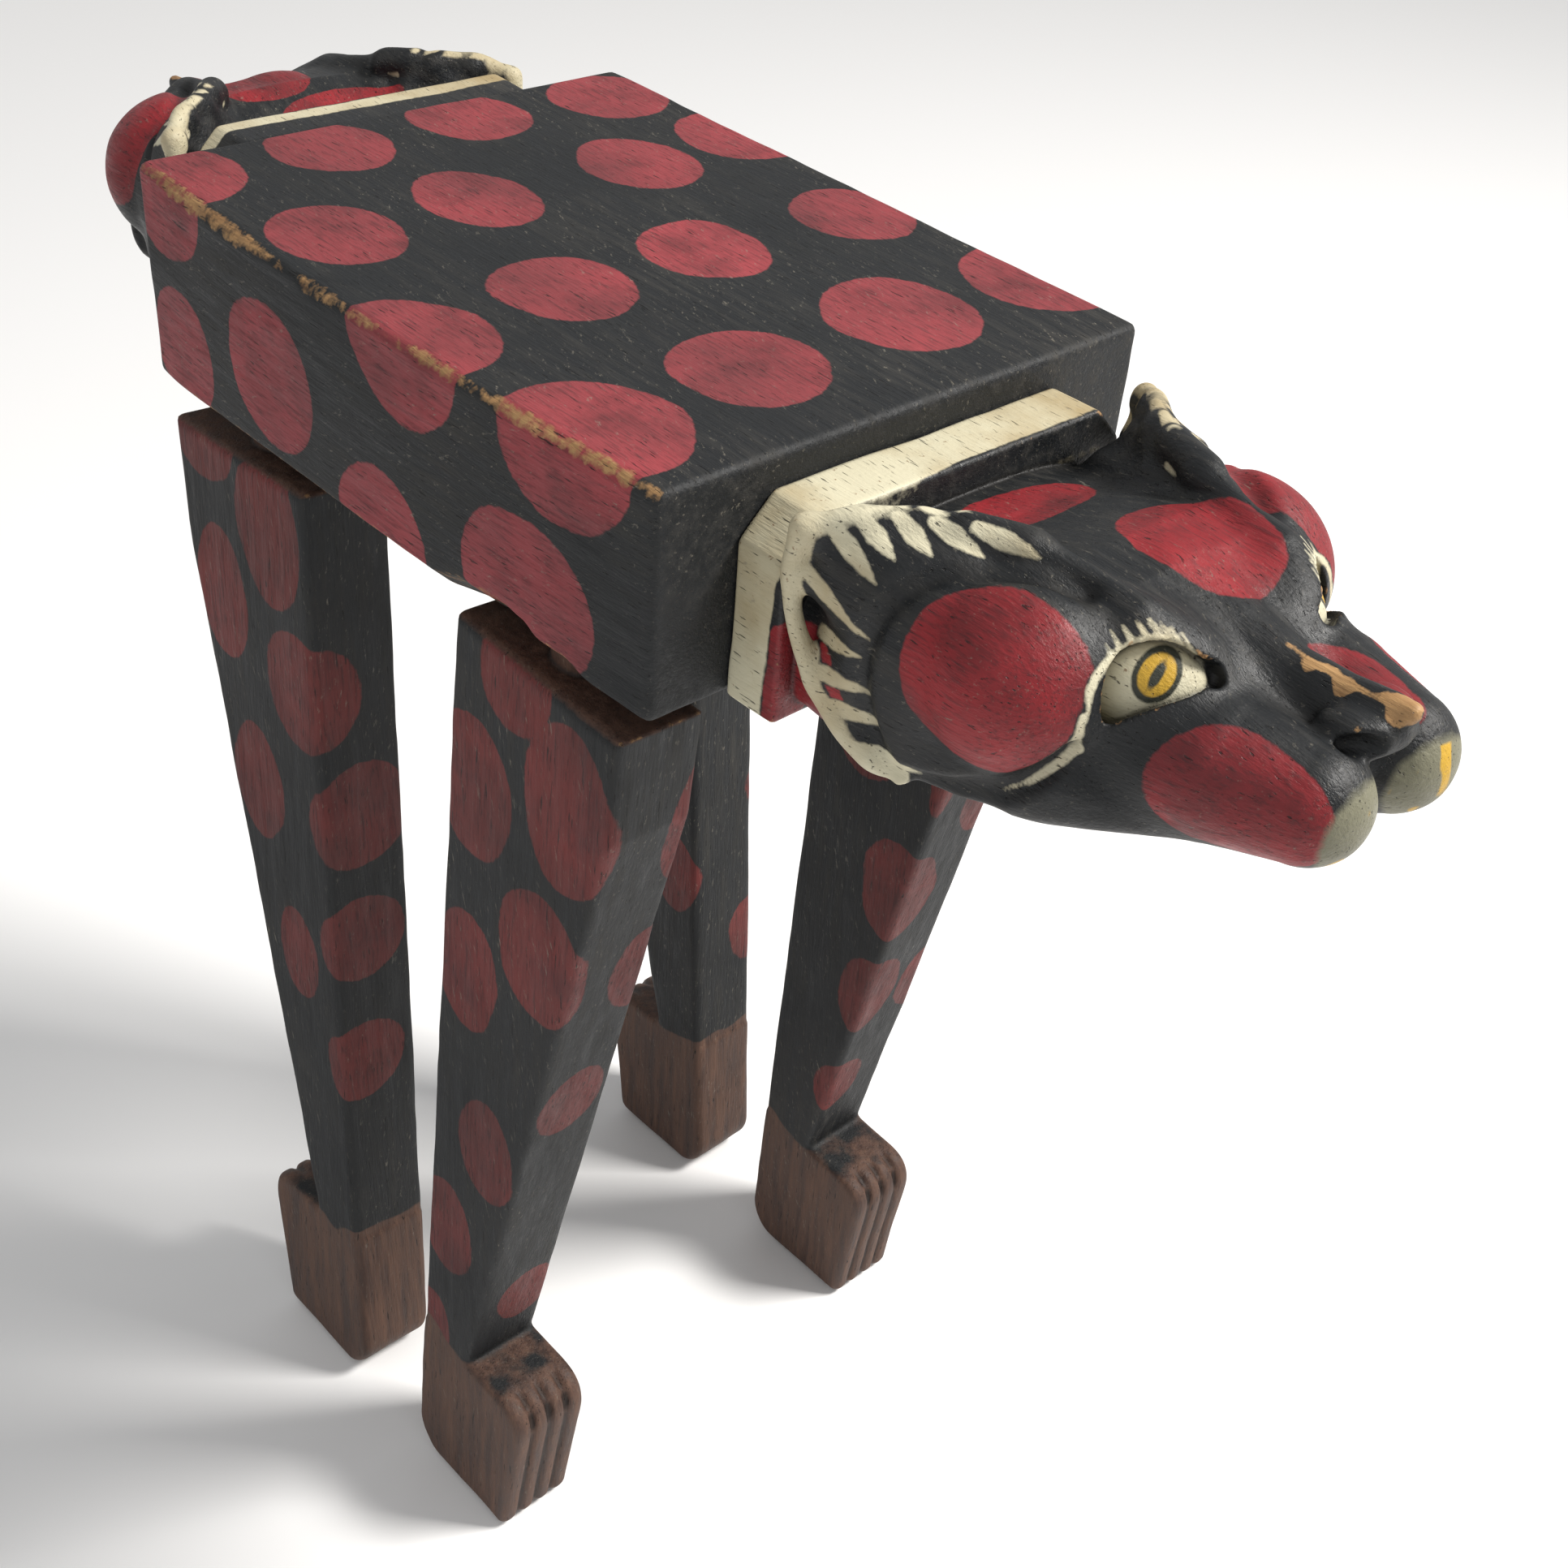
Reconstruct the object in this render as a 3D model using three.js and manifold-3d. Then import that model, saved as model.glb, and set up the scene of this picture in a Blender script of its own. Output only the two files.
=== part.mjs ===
// A low wooden bench carved as a two-headed spotted cat.
// X runs along the bench from head to head, Y across it, Z up. The origin is on the floor under the middle.
// A seat block carries one carved head on each end and four one-piece legs with paws.
// Each head and leg has a tenon: pegs hold the heads, and hidden fox wedges spread the leg tenons.
import * as THREE from "three";
import { mergeVertices } from "three/addons/utils/BufferGeometryUtils.js";
import Module from "manifold-3d";

// ---- Driving dimensions: millimetres, and degrees where the name says so ----

const CLEARANCE = 0.3; // between any two pieces that touch
const OVERCUT = 5; // how far a cutting shape runs past the face that it opens

const SEAT_LENGTH = 240;
const SEAT_WIDTH = 180;
const SEAT_THICKNESS = 67; // at the ends, before the crown of the underside
const SEAT_HEIGHT = 465.5; // floor to the top of the seat
const SEAT_EDGE = 3; // softened edges all round
const SIDE_BOW = 5; // bulge of the left side at mid-length
const UNDERSIDE_CROWN = 3; // belly of the underside at mid-length

const LEG_SHOULDER_WIDTH = 72;
const LEG_SHOULDER_DEPTH = 36; // full-width part below the shoulder
const LEG_THICKNESS = 31;
const LEG_EDGE = 2.5;
const LEG_LEAN_DEGREES = 3; // foot towards mid-length
const LEG_SPLAY_DEGREES = 1.8; // foot outwards
const LEG_END_INSET = 9.5; // seat end to the outer edge of the shoulder
const LEG_PROUD = 2; // outer face of the leg past the side of the seat
const SHOULDER_GAP = 4; // the shoulders stop a little short of the seat

const ANKLE_WIDTH = 27;
const ANKLE_HEIGHT = 75;
const PAW_LENGTH = 60; // heel to knuckle
const TOE_SETBACK = 5; // the toes lean back under the knuckle
const KNUCKLE_ROUNDING = 12;
const HEEL_ROUNDING = 14;
const TOE_COUNT = 4;
const TOE_GROOVE_RADIUS = 1.6;
const TOE_GROOVE_LENGTH = 52;

const LEG_TENON_DIAMETER = 20;
const LEG_TENON_LENGTH = 46;
const LEG_TENON_OFFSET = 3; // towards the middle of the bench, away from the side of the seat
const WEDGE_LENGTH = 24;
const WEDGE_HEAD = 3.2;
const WEDGE_TIP = 0.8;
const WEDGE_WIDTH = 16;

const COLLAR_LENGTH = 18;
const COLLAR_WIDTH = 128;
const COLLAR_HEIGHTS = { front: 57.5, rear: 65.5 };
const COLLAR_CHAMFER = 12;
const SKULL_LENGTH = 100; // collar to the inner corner of the eye
const MUZZLE_LENGTH = 44; // inner corner of the eye to the tip of the muzzle
const MUZZLE_DROPS = { front: 0, rear: 15 }; // the rear head looks down
const HEAD_TENON_LENGTH = 50;
const HEAD_TENON_WIDTH = 70;
const HEAD_TENON_HEIGHT = 28;

const PEG_DIAMETER = 9;
const PEG_SPACING = 40;
const PEG_SETBACK = 25; // seat end to the peg's axis
const PEG_PAST_TENON = 8; // how far a peg runs on above the head tenon

const ROUND_SIDES = 20;
const SKULL_SIDES = 24;
const EGG_SIDES = 16;
const EGG_RINGS = 9;

// ---- Values worked out from them ----

const seatUnderside = SEAT_HEIGHT - SEAT_THICKNESS;
const seatEnd = SEAT_LENGTH / 2;
const headLength = COLLAR_LENGTH + SKULL_LENGTH + MUZZLE_LENGTH;
const headTenonMiddle = SEAT_THICKNESS / 2; // above the seat's underside
const legLean = THREE.MathUtils.degToRad(LEG_LEAN_DEGREES);
const legSplay = THREE.MathUtils.degToRad(LEG_SPLAY_DEGREES);
const shoulderRise =
  (LEG_SHOULDER_WIDTH / 2) * Math.sin(legLean) + (LEG_THICKNESS / 2) * Math.sin(legSplay);
const shoulderHeight = seatUnderside - UNDERSIDE_CROWN - SHOULDER_GAP - shoulderRise;
const legLength = shoulderHeight / (Math.cos(legLean) * Math.cos(legSplay));

// ---- Solids ----

const kernel = await Module();
kernel.setup();

// A closed geometry as a solid that can be joined and cut.
function solid(geometry) {
  const bare = geometry.clone();
  bare.deleteAttribute("normal");
  bare.deleteAttribute("uv");
  const merged = mergeVertices(bare, 1e-4);
  const mesh = new kernel.Mesh({
    numProp: 3,
    vertProperties: merged.attributes.position.array,
    triVerts: new Uint32Array(merged.index.array),
  });
  return new kernel.Manifold(mesh);
}

// A solid back as a geometry with flat facets.
function facets(body) {
  const mesh = body.getMesh();
  const geometry = new THREE.BufferGeometry();
  geometry.setAttribute("position", new THREE.BufferAttribute(mesh.vertProperties, mesh.numProp));
  geometry.setIndex(new THREE.BufferAttribute(mesh.triVerts, 1));
  const flat = geometry.toNonIndexed();
  flat.computeVertexNormals();
  return flat;
}

function box(lengthX, widthY, heightZ, x, y, z) {
  return solid(new THREE.BoxGeometry(lengthX, widthY, heightZ).translate(x, y, z));
}

// An ellipsoid at a point. turnY tips its long axis nose up or down.
function egg(radii, centre, turnY = 0) {
  const shape = new THREE.SphereGeometry(1, EGG_SIDES, EGG_RINGS).rotateX(Math.PI / 2);
  return solid(shape.scale(...radii).rotateY(turnY).translate(...centre));
}

// An upright round rod from z = bottom to z = top.
function rod(diameter, bottom, top, x, y) {
  const length = top - bottom;
  const shape = new THREE.CylinderGeometry(diameter / 2, diameter / 2, length, ROUND_SIDES);
  return solid(shape.rotateX(Math.PI / 2).translate(x, y, bottom + length / 2));
}

// A side outline, drawn with X and Z, pulled to a thickness centred on y = 0.
function slab(outline, thickness, edge = 0) {
  const shape = new THREE.ExtrudeGeometry(outline, {
    depth: thickness - 2 * edge,
    bevelEnabled: edge > 0,
    bevelThickness: edge,
    bevelSize: edge,
    bevelOffset: -edge,
    bevelSegments: 2,
    curveSegments: 8,
  });
  return solid(shape.translate(0, 0, edge - thickness / 2).rotateX(Math.PI / 2));
}

function joined(...solids) {
  return solids.reduce((whole, piece) => whole.add(piece));
}

// The same feature on the left and on the right.
function pair(make) {
  return joined(make(-1), make(1));
}

// ---- Materials ----

function paintedWood(color, roughness) {
  return new THREE.MeshStandardMaterial({ color, roughness, metalness: 0 });
}

const seatPaint = paintedWood(0x34302f, 0.6);
const headPaint = paintedWood(0x2b2a2b, 0.5);
const legPaint = paintedWood(0x3a2422, 0.65);
const bareWood = paintedWood(0xb8925c, 0.8);

// ---- Places ----

// end is 1 for the front and -1 for the rear; side is -1 for the left and 1 for the right.
// A piece at the rear is the front one turned half round, so its own left and right change over.
function endTurn(end) {
  return end === 1 ? 0 : Math.PI;
}

// The leg's frame: origin at the middle of the shoulder, Z up the leg, X towards the nearer head.
function legPlace(end, side) {
  const reach = (LEG_SHOULDER_WIDTH / 2) * Math.cos(legLean);
  const outwards = side * end;
  const place = new THREE.Group();
  place.position.set(
    seatEnd - LEG_END_INSET - reach,
    outwards * (SEAT_WIDTH / 2 + LEG_PROUD - LEG_THICKNESS / 2),
    shoulderHeight,
  );
  place.rotation.set(outwards * legSplay, legLean, 0);
  const turned = new THREE.Group();
  turned.rotation.z = endTurn(end);
  turned.add(place);
  turned.updateMatrixWorld(true);
  return { turned, place };
}

function moved(body, matrix) {
  return solid(facets(body).applyMatrix4(matrix));
}

// ---- Leg with its paw and tenon, in the leg's own frame ----

function legOutline() {
  const inner = -LEG_SHOULDER_WIDTH / 2;
  const sole = -legLength;
  const pawTop = sole + ANKLE_HEIGHT;
  const knuckle = inner + PAW_LENGTH;
  const outline = new THREE.Shape();
  outline.moveTo(inner, 0);
  outline.lineTo(inner, sole + HEEL_ROUNDING);
  outline.absarc(inner + HEEL_ROUNDING, sole + HEEL_ROUNDING, HEEL_ROUNDING, Math.PI, 1.5 * Math.PI, false);
  outline.lineTo(inner + HEEL_ROUNDING, sole - OVERCUT);
  outline.lineTo(knuckle - TOE_SETBACK, sole - OVERCUT);
  outline.lineTo(knuckle, pawTop - KNUCKLE_ROUNDING);
  outline.absarc(knuckle - KNUCKLE_ROUNDING, pawTop - KNUCKLE_ROUNDING, KNUCKLE_ROUNDING, 0, Math.PI / 2, false);
  outline.lineTo(inner + ANKLE_WIDTH, pawTop);
  outline.lineTo(-inner, -LEG_SHOULDER_DEPTH);
  outline.lineTo(-inner, 0);
  return outline;
}

// Upright V grooves between the toes, down the front of the paw.
function toeGrooves() {
  const face = -LEG_SHOULDER_WIDTH / 2 + PAW_LENGTH;
  const pitch = LEG_THICKNESS / TOE_COUNT;
  const grooves = [];
  for (let gap = 1; gap < TOE_COUNT; gap += 1) {
    const shape = new THREE.CylinderGeometry(TOE_GROOVE_RADIUS, TOE_GROOVE_RADIUS, TOE_GROOVE_LENGTH, 8);
    shape.rotateX(Math.PI / 2).translate(0, 0, TOE_GROOVE_LENGTH / 2);
    shape.rotateY(TOE_SETBACK / (ANKLE_HEIGHT - KNUCKLE_ROUNDING));
    shape.translate(face - TOE_SETBACK, gap * pitch - LEG_THICKNESS / 2, -legLength - OVERCUT / 2);
    grooves.push(solid(shape));
  }
  return joined(...grooves);
}

// The wedge's outline, grown by a margin so that the same shape cuts the kerf it sits in.
function wedgeOutline(margin) {
  const top = LEG_TENON_LENGTH + (margin > 0 ? OVERCUT : 0);
  const bottom = LEG_TENON_LENGTH - WEDGE_LENGTH - margin;
  const head = WEDGE_HEAD / 2 + margin;
  const tip = WEDGE_TIP / 2 + margin;
  const outline = new THREE.Shape();
  outline.moveTo(-tip, bottom);
  outline.lineTo(tip, bottom);
  outline.lineTo(head, top);
  outline.lineTo(-head, top);
  return outline;
}

function wedge(outwards) {
  const body = slab(wedgeOutline(0), WEDGE_WIDTH);
  return facets(body.translate([0, -outwards * LEG_TENON_OFFSET, 0]));
}

function leg(outwards, placeMatrix) {
  const inwards = -outwards * LEG_TENON_OFFSET;
  const board = slab(legOutline(), LEG_THICKNESS, LEG_EDGE);
  const shoulderCut = box(2 * LEG_SHOULDER_WIDTH, 2 * LEG_THICKNESS, 2 * LEG_EDGE, 0, 0, 0);
  const tenon = rod(LEG_TENON_DIAMETER, -3 * LEG_EDGE, LEG_TENON_LENGTH, 0, inwards);
  const kerf = slab(wedgeOutline(CLEARANCE), 2 * LEG_TENON_DIAMETER);
  const floorDepth = 2 * OVERCUT + HEEL_ROUNDING;
  const belowFloor = box(4 * SEAT_LENGTH, 4 * SEAT_WIDTH, floorDepth, 0, 0, -floorDepth / 2);
  return board
    .subtract(shoulderCut.translate([0, 0, LEG_EDGE]))
    .subtract(toeGrooves())
    .add(tenon)
    .subtract(kerf)
    .subtract(moved(belowFloor, placeMatrix.clone().invert()));
}

// ---- Head with its collar and tenon: X out from the seat's end, Z up from the seat's underside ----

function collar(height) {
  const half = COLLAR_WIDTH / 2;
  const outline = new THREE.Shape();
  outline.moveTo(-half, 0);
  outline.lineTo(half, 0);
  outline.lineTo(half, height - COLLAR_CHAMFER);
  outline.lineTo(half - COLLAR_CHAMFER, height);
  outline.lineTo(COLLAR_CHAMFER - half, height);
  outline.lineTo(-half, height - COLLAR_CHAMFER);
  const length = COLLAR_LENGTH - CLEARANCE;
  const body = slab(outline, length).rotate([0, 0, 90]);
  return body.translate([CLEARANCE + length / 2, 0, 0]);
}

// Cross-sections of the skull from the collar forward: distance, half width, top and bottom.
function skullSections(drop) {
  const start = COLLAR_LENGTH - CLEARANCE;
  const eye = COLLAR_LENGTH + SKULL_LENGTH;
  return [
    { x: start, half: 56, top: 48, bottom: 2 },
    { x: COLLAR_LENGTH + 0.22 * SKULL_LENGTH, half: 60, top: 53, bottom: 1.5 },
    { x: COLLAR_LENGTH + 0.52 * SKULL_LENGTH, half: 60, top: 64, bottom: 3 },
    { x: COLLAR_LENGTH + 0.8 * SKULL_LENGTH, half: 50, top: 62, bottom: 6 },
    { x: eye, half: 40, top: 56 - 0.3 * drop, bottom: 9 - 0.3 * drop },
    { x: eye + 0.4 * MUZZLE_LENGTH, half: 32, top: 50 - 0.8 * drop, bottom: 14 - 0.8 * drop },
    { x: eye + 0.75 * MUZZLE_LENGTH, half: 24, top: 44 - drop, bottom: 20 - drop },
  ];
}

// A round body whose ring at each section has that section's width, top and bottom.
// The power under one squares the section off, so that flat cheeks and a flat jaw remain.
function skull(drop) {
  const sections = skullSections(drop);
  const shape = new THREE.CylinderGeometry(1, 1, 1, SKULL_SIDES, sections.length - 1);
  shape.rotateZ(-Math.PI / 2);
  const points = shape.attributes.position;
  for (let i = 0; i < points.count; i += 1) {
    const ring = Math.round((points.getX(i) + 0.5) * (sections.length - 1));
    const section = sections[ring];
    const squared = (value) => Math.sign(value) * Math.abs(value) ** 0.7;
    const middle = (section.top + section.bottom) / 2;
    const half = (section.top - section.bottom) / 2;
    points.setXYZ(i, section.x, section.half * squared(points.getY(i)), middle + half * squared(points.getZ(i)));
  }
  return solid(shape);
}

function ears() {
  const x = COLLAR_LENGTH + 40;
  return pair((side) => egg([38, 10, 24], [x, side * 56, 36], 0.45));
}

function cheeks() {
  const x = COLLAR_LENGTH + 60;
  return pair((side) => egg([29, 19, 23], [x, side * 48, 36], 0.2));
}

// The carved line that parts each round cheek from the ear wrapped behind it.
function cheekGrooves() {
  const x = COLLAR_LENGTH + 60;
  return pair((side) => {
    const ring = new THREE.TorusGeometry(27, 2.5, 6, ROUND_SIDES).rotateX(Math.PI / 2);
    return solid(ring.rotateY(0.2).translate(x, side * 62, 36));
  });
}

function brows() {
  const x = COLLAR_LENGTH + 80;
  return pair((side) => egg([21, 14, 9], [x, side * 28, 54], 0.15));
}

function eyes() {
  const x = COLLAR_LENGTH + SKULL_LENGTH - 13;
  return pair((side) => egg([13, 8, 9], [x, side * 31, 47], 0.1));
}

function muzzleLobes(drop) {
  const length = 40;
  const x = headLength - length;
  return pair((side) => egg([length, 18, 17], [x, side * 16, 33 - drop]));
}

function nose(drop) {
  const bridge = egg([38, 13, 9], [headLength - 42, 0, 49 - 0.6 * drop]);
  const tip = egg([13, 11, 7], [headLength - 14, 0, 52 - drop]);
  return joined(bridge, tip);
}

function nostrils(drop) {
  return pair((side) => egg([4, 3, 4], [headLength - 5, side * 8, 51 - drop]));
}

function headTenon(margin) {
  const length = HEAD_TENON_LENGTH + (margin > 0 ? OVERCUT + margin : COLLAR_LENGTH);
  const inner = -HEAD_TENON_LENGTH - margin;
  const width = HEAD_TENON_WIDTH + 2 * margin;
  const height = HEAD_TENON_HEIGHT + 2 * margin;
  return box(length, width, height, inner + length / 2, 0, headTenonMiddle);
}

function pegTop() {
  return headTenonMiddle + HEAD_TENON_HEIGHT / 2 + PEG_PAST_TENON;
}

function pegHoles() {
  const diameter = PEG_DIAMETER + 2 * CLEARANCE;
  const top = pegTop() + CLEARANCE;
  return pair((side) => rod(diameter, -2 * OVERCUT, top, -PEG_SETBACK, (side * PEG_SPACING) / 2));
}

function peg(side) {
  return facets(rod(PEG_DIAMETER, 0, pegTop(), -PEG_SETBACK, (side * PEG_SPACING) / 2));
}

function head(endName) {
  const drop = MUZZLE_DROPS[endName];
  const back = joined(collar(COLLAR_HEIGHTS[endName]), skull(drop), ears(), cheeks(), brows(), eyes());
  return joined(back, muzzleLobes(drop), nose(drop))
    .subtract(cheekGrooves())
    .subtract(nostrils(drop))
    .add(headTenon(0))
    .subtract(pegHoles());
}

// ---- Seat ----

// Straight on the right, bowed on the left.
function seatPlan() {
  const left = -SEAT_WIDTH / 2;
  const outline = new THREE.Shape();
  outline.moveTo(-seatEnd, left);
  outline.quadraticCurveTo(0, left - 2 * SIDE_BOW, seatEnd, left);
  outline.lineTo(seatEnd, -left);
  outline.lineTo(-seatEnd, -left);
  return outline;
}

// Flat on top, with a belly underneath.
function seatProfile() {
  const outline = new THREE.Shape();
  outline.moveTo(-seatEnd - OVERCUT, SEAT_HEIGHT + OVERCUT);
  outline.lineTo(-seatEnd - OVERCUT, seatUnderside);
  outline.lineTo(-seatEnd, seatUnderside);
  outline.quadraticCurveTo(0, seatUnderside - 2 * UNDERSIDE_CROWN, seatEnd, seatUnderside);
  outline.lineTo(seatEnd + OVERCUT, seatUnderside);
  outline.lineTo(seatEnd + OVERCUT, SEAT_HEIGHT + OVERCUT);
  return outline;
}

function seatBlank() {
  const height = SEAT_THICKNESS + UNDERSIDE_CROWN;
  const plan = new THREE.ExtrudeGeometry(seatPlan(), {
    depth: height - 2 * SEAT_EDGE,
    bevelThickness: SEAT_EDGE,
    bevelSize: SEAT_EDGE,
    bevelOffset: -SEAT_EDGE,
    bevelSegments: 2,
    curveSegments: 12,
  });
  const raised = plan.translate(0, 0, SEAT_HEIGHT - height + SEAT_EDGE);
  return solid(raised).intersect(slab(seatProfile(), 2 * SEAT_WIDTH));
}

function legMortise(outwards, matrix) {
  const diameter = LEG_TENON_DIAMETER + 2 * CLEARANCE;
  const bottom = -2 * OVERCUT;
  const bore = rod(diameter, bottom, LEG_TENON_LENGTH + CLEARANCE, 0, -outwards * LEG_TENON_OFFSET);
  return moved(bore, matrix);
}

function headCuts(end) {
  const matrix = new THREE.Matrix4().makeRotationZ(endTurn(end));
  matrix.multiply(new THREE.Matrix4().makeTranslation(seatEnd, 0, seatUnderside));
  return moved(joined(headTenon(CLEARANCE), pegHoles()), matrix);
}

// ---- Assembly ----

const ENDS = [
  { name: "front", end: 1 },
  { name: "rear", end: -1 },
];
const SIDES = [
  { name: "left", side: -1 },
  { name: "right", side: 1 },
];

function named(name, geometry, material) {
  const mesh = new THREE.Mesh(geometry, material);
  mesh.name = name;
  return mesh;
}

const bench = new THREE.Group();
let seat = seatBlank();

for (const { name: endName, end } of ENDS) {
  const headGroup = new THREE.Group();
  headGroup.rotation.z = endTurn(end);
  const headPlace = new THREE.Group();
  headPlace.position.set(seatEnd, 0, seatUnderside);
  headPlace.add(named(`${endName}_head`, facets(head(endName)), headPaint));
  for (const { name: sideName, side } of SIDES) {
    headPlace.add(named(`${endName}_${sideName}_peg`, peg(side * end), bareWood));
  }
  headGroup.add(headPlace);
  bench.add(headGroup);
  seat = seat.subtract(headCuts(end));

  for (const { name: sideName, side } of SIDES) {
    const { turned, place } = legPlace(end, side);
    const outwards = side * end;
    const body = leg(outwards, place.matrixWorld);
    place.add(named(`${endName}_${sideName}_leg`, facets(body), legPaint));
    place.add(named(`${endName}_${sideName}_wedge`, wedge(outwards), bareWood));
    bench.add(turned);
    seat = seat.subtract(legMortise(outwards, place.matrixWorld));
  }
}

bench.add(named("seat_block", facets(seat), seatPaint));

export default bench;
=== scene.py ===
import math

import bpy
import numpy as np
from mathutils import Matrix, Vector


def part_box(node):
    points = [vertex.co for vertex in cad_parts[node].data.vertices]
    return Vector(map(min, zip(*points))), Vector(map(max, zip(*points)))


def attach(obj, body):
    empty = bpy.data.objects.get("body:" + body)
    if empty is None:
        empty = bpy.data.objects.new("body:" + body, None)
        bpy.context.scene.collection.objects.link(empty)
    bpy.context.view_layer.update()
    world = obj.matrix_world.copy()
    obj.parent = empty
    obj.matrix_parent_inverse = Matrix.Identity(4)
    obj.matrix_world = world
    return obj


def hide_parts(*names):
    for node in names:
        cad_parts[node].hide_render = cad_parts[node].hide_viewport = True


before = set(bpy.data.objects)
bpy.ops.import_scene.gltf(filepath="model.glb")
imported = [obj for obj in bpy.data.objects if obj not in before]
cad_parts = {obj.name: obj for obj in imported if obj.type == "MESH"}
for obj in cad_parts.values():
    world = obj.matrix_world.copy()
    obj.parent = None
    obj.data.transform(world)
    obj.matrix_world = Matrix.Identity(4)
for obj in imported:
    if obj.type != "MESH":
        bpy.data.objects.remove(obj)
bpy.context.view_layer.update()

# Everything below is worked out in millimetres and turned into metres when a mesh is made.
MM = 0.001

# ---- Places taken from the CAD frame ----


def box_mm(node):
    """Lowest and highest corner of a CAD node, in millimetres."""
    low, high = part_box(node)
    return np.array(low) / MM, np.array(high) / MM


SEAT_LOW, SEAT_HIGH = box_mm("seat_block")
SEAT_END = SEAT_HIGH[0]
SEAT_TOP = SEAT_HIGH[2]
SEAT_HALF = SEAT_HIGH[1]
HEAD_BASE = box_mm("front_head")[0][2]
SIDE_BOW = -SEAT_LOW[1] - SEAT_HALF
CROWN = HEAD_BASE - SEAT_LOW[2]


# ---- Smooth random lumps ----


def lumps(x, y, z, size, seed):
    """Smooth random values from -1 to 1, with lumps about size (x, y, z) across."""
    cells = 32
    table = np.random.default_rng(seed).uniform(-1, 1, (cells, cells, cells))
    low, high, part = [], [], []
    for value, across in zip((x, y, z), size):
        place = np.asarray(value, float) / across
        base = np.floor(place)
        step = place - base
        part.append(step * step * (3 - 2 * step))
        low.append(base.astype(int) % cells)
        high.append((base.astype(int) + 1) % cells)
    total = 0
    for corner in np.ndindex(2, 2, 2):
        index = tuple(high[i] if corner[i] else low[i] for i in range(3))
        weight = 1
        for i in range(3):
            weight = weight * (part[i] if corner[i] else 1 - part[i])
        total = total + weight * table[index]
    return total


def ease(value, start, end):
    """0 at start, 1 at end, and smooth between them."""
    part = np.clip((value - start) / (end - start), 0, 1)
    return part * part * (3 - 2 * part)


# ---- Carving: distance fields, negative inside the wood ----


def ellipsoid(p, centre, radii, yaw=0, pitch=0):
    """yaw turns it about Z and pitch tips it about Y, in degrees."""
    x, y, z = (p[i] - centre[i] for i in range(3))
    c, s = math.cos(math.radians(yaw)), math.sin(math.radians(yaw))
    x, y = c * x + s * y, c * y - s * x
    c, s = math.cos(math.radians(pitch)), math.sin(math.radians(pitch))
    x, z = c * x + s * z, c * z - s * x
    reach = np.sqrt((x / radii[0]) ** 2 + (y / radii[1]) ** 2 + (z / radii[2]) ** 2)
    slope = np.sqrt((x / radii[0] ** 2) ** 2 + (y / radii[1] ** 2) ** 2 + (z / radii[2] ** 2) ** 2)
    return reach * (reach - 1) / np.maximum(slope, 1e-6)


def rod(p, path):
    """A round rod along a path of (x, y, z, radius), tapering between the points."""
    nearest = None
    for start, end in zip(path[:-1], path[1:]):
        run = [end[i] - start[i] for i in range(3)]
        length = sum(c * c for c in run)
        along = sum((p[i] - start[i]) * run[i] for i in range(3)) / length
        along = np.clip(along, 0, 1)
        gap = np.sqrt(sum((p[i] - start[i] - along * run[i]) ** 2 for i in range(3)))
        gap -= start[3] + along * (end[3] - start[3])
        nearest = gap if nearest is None else np.minimum(nearest, gap)
    return nearest


def bent(path, steps=5):
    """The same path through its points as a smooth curve with more points."""
    points = np.array(path, float)
    ends = np.vstack([2 * points[0] - points[1], points, 2 * points[-1] - points[-2]])
    curve = []
    for a, b, c, d in zip(ends[:-3], ends[1:-2], ends[2:-1], ends[3:]):
        for t in np.arange(steps) / steps:
            curve.append(0.5 * (2 * b + (c - a) * t + (2 * a - 5 * b + 4 * c - d) * t**2
                                + (3 * b - a - 3 * c + d) * t**3))
    curve.append(points[-1])
    return [tuple(point) for point in curve]


def join(a, b, soft):
    """Both solids, with a fillet about soft wide where they meet."""
    part = np.clip(0.5 + 0.5 * (b - a) / soft, 0, 1)
    return b + (a - b) * part - soft * part * (1 - part)


def cut(a, b, soft):
    """Solid a less solid b."""
    return -join(-a, b, soft)


def both(a, b, soft):
    """What solids a and b share, with the edge between them rounded."""
    return -join(-a, -b, soft)


def polygon(u, w, corners):
    """A closed outline in the plane, its corners going round anticlockwise."""
    square = np.inf
    inside = 1
    for (u1, w1), (u2, w2) in zip(corners, corners[1:] + corners[:1]):
        run_u, run_w = u2 - u1, w2 - w1
        off_u, off_w = u - u1, w - w1
        along = np.clip((off_u * run_u + off_w * run_w) / (run_u**2 + run_w**2), 0, 1)
        square = np.minimum(square, (off_u - along * run_u) ** 2 + (off_w - along * run_w) ** 2)
        turn = run_u * off_w - run_w * off_u
        crossed = ((w >= w1) & (w < w2) & (turn > 0)) | ((w < w1) & (w >= w2) & (turn < 0))
        inside = np.where(crossed, -inside, inside)
    return inside * np.sqrt(square)


# ---- From a field to a mesh ----


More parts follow.
